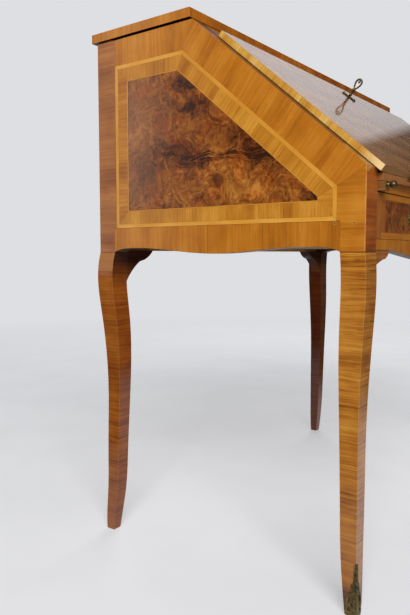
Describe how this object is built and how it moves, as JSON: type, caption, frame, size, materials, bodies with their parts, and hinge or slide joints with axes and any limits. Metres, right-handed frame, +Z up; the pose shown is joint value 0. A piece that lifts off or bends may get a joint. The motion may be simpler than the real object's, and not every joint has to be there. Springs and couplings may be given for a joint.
{
  "type": "slant-front desk",
  "caption": "Lady's writing desk on square cabriole legs, with a slanting fall front on pull-out lopers, frieze drawers with bail handles, inlaid burl sides and a lock with its key.",
  "frame": {"origin": "on the floor, below the middle of the desk's box with the left loper drawn a little", "axes": "+X to the right along the front, +Y from the front to the back, +Z up"},
  "size_m": [0.9362, 0.589, 0.98],
  "materials": {
    "leg_wood": "wax-polished fruitwood",
    "banding_veneer": "polished veneer",
    "front_veneer": "polished veneer",
    "burl_veneer": "polished burl veneer",
    "stringing": "polished light stringing",
    "lid_veneer": "glossy polished veneer",
    "deck_veneer": "satin polished veneer",
    "secondary_wood": "bare planed softwood",
    "leather": "tooled writing leather",
    "bronze": "dark patinated gilt bronze",
    "hinge_brass": "worn brass",
    "lock_steel": "dull filed steel"
  },
  "bodies": {
    "carcass": {"back_knee_brackets": "secondary_wood", "back_panel": "secondary_wood", "back_rail": "secondary_wood", "drawer_guides": "secondary_wood", "drawer_muntin": "front_veneer", "dust_board": "secondary_wood", "front_apron": "front_veneer", "front_knee_brackets": "front_veneer", "front_rail": "front_veneer", "front_sabots": "bronze", "hinge_leaves_deck": "hinge_brass", "hinge_pins": "hinge_brass", "leg_back_left": "leg_wood", "leg_back_right": "leg_wood", "leg_front_left": "leg_wood", "leg_front_right": "leg_wood", "lock_staple": "lock_steel", "loper_runners": "secondary_wood", "pigeonhole_back": "deck_veneer", "pigeonhole_partitions": "deck_veneer", "pigeonhole_shelf": "deck_veneer", "side_burl_left": "burl_veneer", "side_burl_right": "burl_veneer", "side_panel_left": "banding_veneer", "side_panel_right": "banding_veneer", "side_stringing_left": "stringing", "side_stringing_right": "stringing", "slope_rail": "front_veneer", "top_board": "banding_veneer", "writing_deck": "deck_veneer"},
    "lid": {"lid_board": "lid_veneer", "lid_leather": "leather", "lid_stringing": "stringing", "hinge_leaves_lid": "hinge_brass", "lock_case": "lock_steel", "key_escutcheon": "bronze"},
    "bolt": {"lock_bolt": "lock_steel"},
    "key": {"key": "bronze"},
    "loper_left": {"loper_left": "front_veneer", "loper_knob_left": "bronze"},
    "drawer_left": {"drawer_left_front": "burl_veneer", "drawer_left_sides": "secondary_wood", "drawer_left_back": "secondary_wood", "drawer_left_bottom": "secondary_wood", "drawer_left_handle_mounts": "bronze"},
    "bail_left": {"drawer_left_bail": "bronze"},
    "small_drawer_left": {"small_drawer_left_front": "deck_veneer", "small_drawer_left_tray": "secondary_wood", "small_drawer_left_knob": "bronze"},
    "loper_right": {"loper_right": "front_veneer", "loper_knob_right": "bronze"},
    "drawer_right": {"drawer_right_front": "burl_veneer", "drawer_right_sides": "secondary_wood", "drawer_right_back": "secondary_wood", "drawer_right_bottom": "secondary_wood", "drawer_right_handle_mounts": "bronze"},
    "bail_right": {"drawer_right_bail": "bronze"},
    "small_drawer_right": {"small_drawer_right_front": "deck_veneer", "small_drawer_right_tray": "secondary_wood", "small_drawer_right_knob": "bronze"}
  },
  "joints": [
    {"name": "lid_hinge", "type": "hinge", "parent": "carcass", "child": "lid", "pos_m": [0, -0.2765, 0.6815], "axis": [1, 0, 0], "range_deg": [0, 139.6]},
    {"name": "key_turn", "type": "hinge", "parent": "lid", "child": "key", "pos_m": [0, -0.0199, 0.89985], "axis": [0, -0.6481, 0.7616], "range_deg": [0, 180]},
    {"name": "bolt_throw", "type": "slide", "parent": "lid", "child": "bolt", "axis": [1, 0, 0], "range_m": [0, 0.008]},
    {"name": "loper_left_slide", "type": "slide", "parent": "carcass", "child": "loper_left", "axis": [0, -1, 0], "range_m": [-0.012, 0.188]},
    {"name": "drawer_left_slide", "type": "slide", "parent": "carcass", "child": "drawer_left", "axis": [0, -1, 0], "range_m": [0, 0.3]},
    {"name": "bail_left_swing", "type": "hinge", "parent": "drawer_left", "child": "bail_left", "pos_m": [-0.217, -0.2805, 0.6185], "axis": [-1, 0, 0], "range_deg": [0, 90]},
    {"name": "small_drawer_left_slide", "type": "slide", "parent": "carcass", "child": "small_drawer_left", "axis": [0, -1, 0], "range_m": [0, 0.1]},
    {"name": "loper_right_slide", "type": "slide", "parent": "carcass", "child": "loper_right", "axis": [0, -1, 0], "range_m": [0, 0.2]},
    {"name": "drawer_right_slide", "type": "slide", "parent": "carcass", "child": "drawer_right", "axis": [0, -1, 0], "range_m": [0, 0.3]},
    {"name": "bail_right_swing", "type": "hinge", "parent": "drawer_right", "child": "bail_right", "pos_m": [0.217, -0.2805, 0.6185], "axis": [-1, 0, 0], "range_deg": [0, 90]},
    {"name": "small_drawer_right_slide", "type": "slide", "parent": "carcass", "child": "small_drawer_right", "axis": [0, -1, 0], "range_m": [0, 0.1]}
  ],
  "couplings": [
    {"joint": "bolt_throw", "follows": "key_turn", "m_per_rad": 0.0025465}
  ]
}
